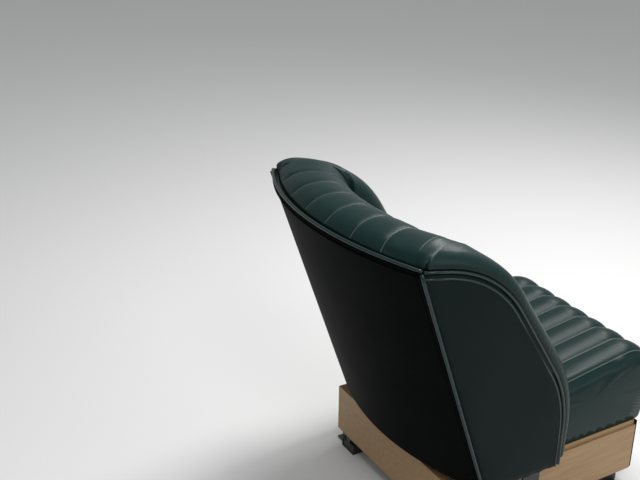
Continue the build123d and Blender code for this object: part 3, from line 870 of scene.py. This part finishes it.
def cushion_profile():
    """The cushion cut fore and aft: up the heel, along the top, over the nose and back under."""
    heel, crown = CUSHION_HEEL[-1], NOSE_UP + NOSE_RADIUS
    tip, toe = NOSE_FORWARD + NOSE_RADIUS, 650
    shares = [i / 40 for i in range(1, 40)]
    top = [(heel[0] + (NOSE_FORWARD - heel[0]) * s, heel[1] + (crown - heel[1]) * s) for s in shares]
    nose = [
        (NOSE_FORWARD + NOSE_RADIUS * math.sin(t), NOSE_UP + NOSE_RADIUS * math.cos(t))
        for t in quarter_turn(10)
    ]
    front = [(tip - (tip - toe) * i / 10, NOSE_UP - (NOSE_UP - CUSHION_LOW) * i / 10) for i in range(1, 11)]
    under = [(toe - (toe - CUSHION_HEEL[0][0]) * i / 12, CUSHION_LOW) for i in range(1, 12)]
    return [*CUSHION_HEEL, *top, *nose, *front, *under]


def cushion():
    """The profile drawn across the seat, fluted, eased round the back and filled."""
    pitch = CUSHION_PITCH / CUSHION_STEPS
    columns = CUSHION_FLUTES * CUSHION_STEPS + CUSHION_BORDER_STEPS
    start = -columns * pitch / 2
    half = CUSHION_FLUTES * CUSHION_PITCH / 2
    bm = bmesh.new()
    verts = [bm.verts.new(Vector((start, REAR_EDGE_Y - f, z)) / 1000) for f, z in cushion_profile()]
    edges = [bm.edges.new(pair) for pair in zip(verts, [*verts[1:], verts[0]])]
    bmesh.ops.spin(
        bm, geom=verts + edges, cent=(0, 0, 0), axis=(1, 0, 0), dvec=(pitch / 1000, 0, 0), angle=0.0,
        steps=columns, use_merge=False,
    )
    bmesh.ops.remove_doubles(bm, verts=bm.verts, dist=MERGE)
    bmesh.ops.holes_fill(bm, edges=boundary(bm))
    bmesh.ops.recalc_face_normals(bm, faces=bm.faces)
    bm.normal_update()
    bm.verts.index_update()
    held, crowns, moves = [], [], []
    for vert in bm.verts:
        x, y, z = vert.co * 1000
        share = (x + half) / CUSHION_PITCH
        gap = abs(share - round(share))
        inside = abs(x) < half + 1
        swell = (1 - min(1.0, 1 - 2 * gap) ** CUSHION_POWER) * clamp((z - 152) / 40) if inside else 0.0
        edge = max(0.0, (abs(x) - half) / CUSHION_BORDER)
        rear = max(0.0, 1 - (REAR_EDGE_Y - y - 284) / 220)
        move = vert.normal * CUSHION_RISE * swell
        move.y -= 0.001 * rear * (x * x / (2 * BACK_RADIUS) + 24 * edge**2)
        move.z -= 0.014 * edge**2 * clamp((z - 170) / 80)
        moves.append(move)
        if z < CUSHION_HELD or (inside and gap < CUSHION_ON_SEAM):
            held.append(vert.index)
        # Painted shade and highlight: a low crown mark darkens the hide towards each seam and towards the
        # plain borders, and puts the pale line on the seams.
        crowns.append(min(1.0, SEAM_TONE + gap * 9.0) if inside else min(1.0, EDGE_TONE + edge * 1.5))
    for vert, move in zip(bm.verts, moves):
        vert.co += move
    crease = bm.edges.layers.float.new("crease_edge")
    for edge in bm.edges:
        a, b = [(v.co.x * 1000 + half) / CUSHION_PITCH for v in edge.verts]
        sewn = all(abs(s - round(s)) < CUSHION_ON_SEAM and -0.1 < s < CUSHION_FLUTES + 0.1 for s in (a, b))
        if sewn and abs(a - b) < CUSHION_ON_SEAM:
            edge[crease] = 0.5
    obj = piece("cushion_cover", bm, "seat_base", FLUTED_HIDE, "green_leather", "cushion")
    mark(obj, "crown", crowns)
    inflate(obj, held, pressure=2.5, cap=0.0025)
    subdivide(obj)


def valance():
    """The hide over the front of the base box, with two hems."""
    low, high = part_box("front_valance")
    size = Vector(high) - Vector(low)
    middle = (Vector(high) + Vector(low)) / 2
    bm = bmesh.new()
    bmesh.ops.create_cube(bm, size=1.0, matrix=Matrix.Translation(middle) @ Matrix.Diagonal((*size, 1)))
    bmesh.ops.bevel(
        bm, geom=bm.edges[:], offset=0.0016, offset_type="OFFSET", segments=3, profile=0.5, affect="EDGES",
        material=-1,
    )
    obj = piece("front_valance_cover", bm, "seat_base", PANEL_SHADED_HIDE, "dark_leather", "front_valance")
    y = low[1] - 0.0008
    for label, z in (("top", high[2] - 0.008), ("foot", low[2] + 0.008)):
        points = [Vector((low[0] + size.x * (0.01 + 0.98 * i / 40), y, z)) for i in range(41)]
        piece(f"valance_hem_{label}", tube(points, 0.0016), "seat_base", PIPING_HIDE, "piping_leather")


# Floor, light and camera. A lamp has a place, a target, a power, a width and a length.
LAMPS = {
    "overhead": ((0.15, -0.5, 2.4), (0, 0.25, 0.55), 38, 0.5, 1.6),
    "fore": ((0.8, -1.3, 1.75), (0, 0.2, 0.55), 12, 0.5, 0.9),
    "front": ((-1.7, 0.75, 2.3), (0, 0.2, 0.5), 14, 0.5, 0.9),
    "side": ((-2.0, -1.2, 1.4), (0, 0.1, 0.4), 10, 1.0, 1.6),
}
CAMERA_PLACE = (-1.45, 1.232, 1.384)
CAMERA_AIM = Vector((0.7823, -0.4569, -0.4233))
CAMERA_ROLL = math.radians(0.66)


def stage_floor():
    bm = bmesh.new()
    bmesh.ops.create_grid(bm, x_segments=1, y_segments=1, size=6.0)
    mesh = bpy.data.meshes.new("floor")
    bm.to_mesh(mesh)
    bm.free()
    floor = bpy.data.objects.new("floor", mesh)
    scene.collection.objects.link(floor)
    mat, _, shader = new_finish("pale_floor")
    shader.inputs["Base Color"].default_value = (0.78, 0.78, 0.77, 1)
    shader.inputs["Roughness"].default_value = 0.7
    mesh.materials.append(mat)


def soft_light(name, place, target, power, width, length):
    lamp = bpy.data.lights.new(name, "AREA")
    lamp.shape = "RECTANGLE"
    lamp.size, lamp.size_y = width, length
    lamp.energy = power
    obj = bpy.data.objects.new(name, lamp)
    obj.location = place
    obj.rotation_euler = (Vector(target) - Vector(place)).to_track_quat("-Z", "Y").to_euler()
    scene.collection.objects.link(obj)


def studio():
    stage_floor()
    world = bpy.data.worlds.new("studio")
    world.use_nodes = True
    back = world.node_tree.nodes["Background"]
    back.inputs["Color"].default_value = (0.93, 0.95, 0.96, 1)
    back.inputs["Strength"].default_value = 0.40
    scene.world = world
    for name, settings in LAMPS.items():
        soft_light(name, *settings)


def photo_camera():
    lens = bpy.data.cameras.new("photo_camera")
    lens.lens = 61.08
    lens.sensor_width = 36.0
    camera = bpy.data.objects.new("photo_camera", lens)
    camera.location = CAMERA_PLACE
    aim = CAMERA_AIM.to_track_quat("-Z", "Y")
    camera.rotation_euler = (aim @ Quaternion((0, 0, 1), CAMERA_ROLL)).to_euler()
    scene.collection.objects.link(camera)
    scene.camera = camera


back_facing()
for name, side in SIDES:
    wing_roll(name, side)
for name, side in SIDES:
    wing_lining(name)
    side_panel(name, side)
    wing_trim(name, side)
back_panel()
cushion()
valance()
studio()
photo_camera()
scene.view_settings.view_transform = "Standard"

# The CAD nodes that still show get the finish of their slot.
FINISHES = {
    "green_leather": PLAIN_HIDE,
    "dark_leather": REAR_SHADED_HIDE,
    "piping_leather": PIPING_HIDE,
    "black_steel": BLACK_STEEL,
    "bright_steel": BRIGHT_STEEL,
    "plywood": PLY,
    "buffer_rubber": RUBBER,
}
for entry in frame["record"]["subparts"]:
    node = frame["nodes"][entry["node"]]
    for slot in node.material_slots:
        slot.material = FINISHES[entry["material_slot"]]
